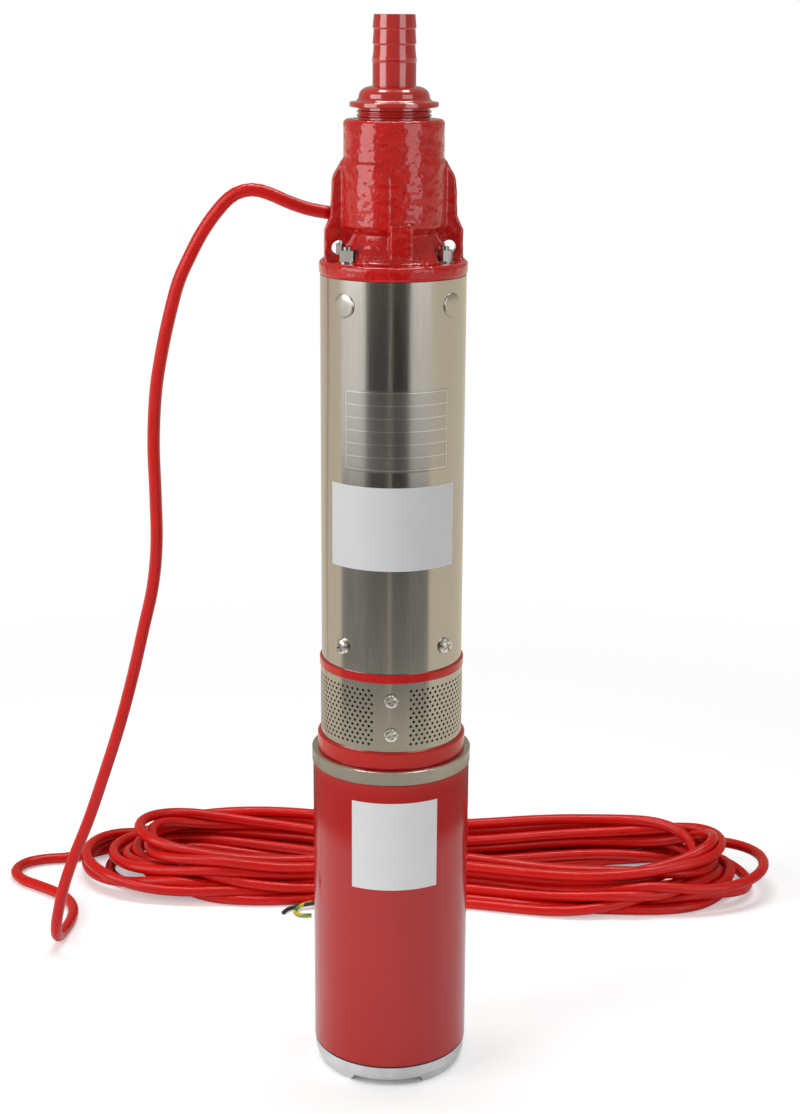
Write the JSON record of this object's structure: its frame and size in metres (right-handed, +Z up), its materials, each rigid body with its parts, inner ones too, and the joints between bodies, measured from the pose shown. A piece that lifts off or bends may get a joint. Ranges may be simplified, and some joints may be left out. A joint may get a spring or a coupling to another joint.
{
  "type": "borehole submersible pump",
  "caption": "Slim upright well pump: hose barb, cast head with rope eyes, steel jacket over a screw pump, perforated inlet, red motor barrel, foot and a wound supply cable.",
  "frame": {"origin": "centre of the foot's underside, on the pump's axis", "axes": "+Z up along the pump's axis to the outlet, -Y the front, where the labels and the screen's seam are"},
  "size_m": [0.5829, 0.396, 0.649],
  "materials": {
    "red_casting": "red paint over rough casting",
    "red_barrel": "smooth red paint",
    "red_plastic": "red paint, satin",
    "stainless": "brushed along the axis",
    "polished": "polished ring",
    "bright_steel": "plated",
    "ground_steel": "ground",
    "aluminium": "machined",
    "dark_iron": "bare laminations",
    "brass": "turned",
    "copper": "enamelled copper",
    "black_rubber": "matte",
    "black_plastic": "moulded",
    "carbon": "pressed carbon",
    "ceramic": "lapped",
    "red_sheath": "glossy red sheath",
    "core_colours": "coloured core insulation"
  },
  "bodies": {
    "pump_body": {"hose_barb": "red_plastic", "discharge_head": "red_casting", "valve_seat": "brass", "valve_spring": "bright_steel", "valve_guide": "brass", "gland_nut": "black_plastic", "gland_boot": "black_rubber", "tie_rods": "bright_steel", "tie_rod_nuts": "bright_steel", "tie_rod_washers": "bright_steel", "pump_jacket": "stainless", "jacket_screws": "bright_steel", "jacket_plugs": "stainless", "stator_tube": "ground_steel", "stator_rubber": "black_rubber", "upper_stator_oring": "black_rubber", "lower_stator_oring": "black_rubber", "inlet_bracket": "red_casting", "strainer_screen": "stainless", "strainer_screws": "bright_steel", "seal_seat": "ceramic", "end_shield": "polished", "collar_screws": "ground_steel", "motor_barrel": "red_barrel", "upper_barrel_oring": "black_rubber", "lower_barrel_oring": "black_rubber", "flux_ring": "dark_iron", "field_magnets": "dark_iron", "brush_holder": "black_plastic", "carbon_brushes": "carbon", "brush_springs": "bright_steel", "upper_bearing_outer": "ground_steel", "lower_bearing_outer": "ground_steel", "foot_cap": "aluminium", "motor_lead": "black_rubber", "lead_grommet": "black_rubber", "cable_run": "red_sheath", "cable_hank": "red_sheath", "core_ends": "core_colours"},
    "flex_line": {"flexible_shaft": "ground_steel"},
    "rotor": {"screw_rotor": "polished", "rotor_coupling": "ground_steel"},
    "poppet": {"valve_poppet": "brass", "poppet_seal": "black_rubber"},
    "upper_balls": {"upper_bearing_cage": "ground_steel"},
    "lower_balls": {"lower_bearing_cage": "ground_steel"},
    "drive_line": {"motor_shaft": "ground_steel", "armature_core": "dark_iron", "armature_windings": "copper", "commutator": "copper", "upper_bearing_inner": "ground_steel", "lower_bearing_inner": "ground_steel", "seal_head": "carbon", "seal_spring": "bright_steel", "shaft_coupling": "ground_steel"}
  },
  "joints": [
    {"name": "motor_spin", "type": "hinge", "parent": "pump_body", "child": "drive_line", "pos_m": [0, 0, 0.1], "axis": [0, 0, 1], "continuous": true},
    {"name": "flex_whirl", "type": "hinge", "parent": "pump_body", "child": "flex_line", "pos_m": [0, 0, 0.29], "axis": [0, 0, 1], "continuous": true},
    {"name": "rotor_spin", "type": "hinge", "parent": "flex_line", "child": "rotor", "pos_m": [0.004, 0, 0.41], "axis": [0, 0, 1], "continuous": true},
    {"name": "upper_cage_spin", "type": "hinge", "parent": "pump_body", "child": "upper_balls", "pos_m": [0, 0, 0.193], "axis": [0, 0, 1], "continuous": true},
    {"name": "lower_cage_spin", "type": "hinge", "parent": "pump_body", "child": "lower_balls", "pos_m": [0, 0, 0.028], "axis": [0, 0, 1], "continuous": true},
    {"name": "poppet_lift", "type": "slide", "parent": "pump_body", "child": "poppet", "axis": [0, 0, 1], "range_m": [0, 0.008], "stiffness_N_per_m": 150, "springref_m": -0.004, "deforming": ["valve_spring"]}
  ],
  "couplings": [
    {"joint": "flex_whirl", "follows": "motor_spin", "ratio": -1},
    {"joint": "rotor_spin", "follows": "motor_spin", "ratio": 2},
    {"joint": "upper_cage_spin", "follows": "motor_spin", "ratio": 0.3682},
    {"joint": "lower_cage_spin", "follows": "motor_spin", "ratio": 0.3682}
  ]
}
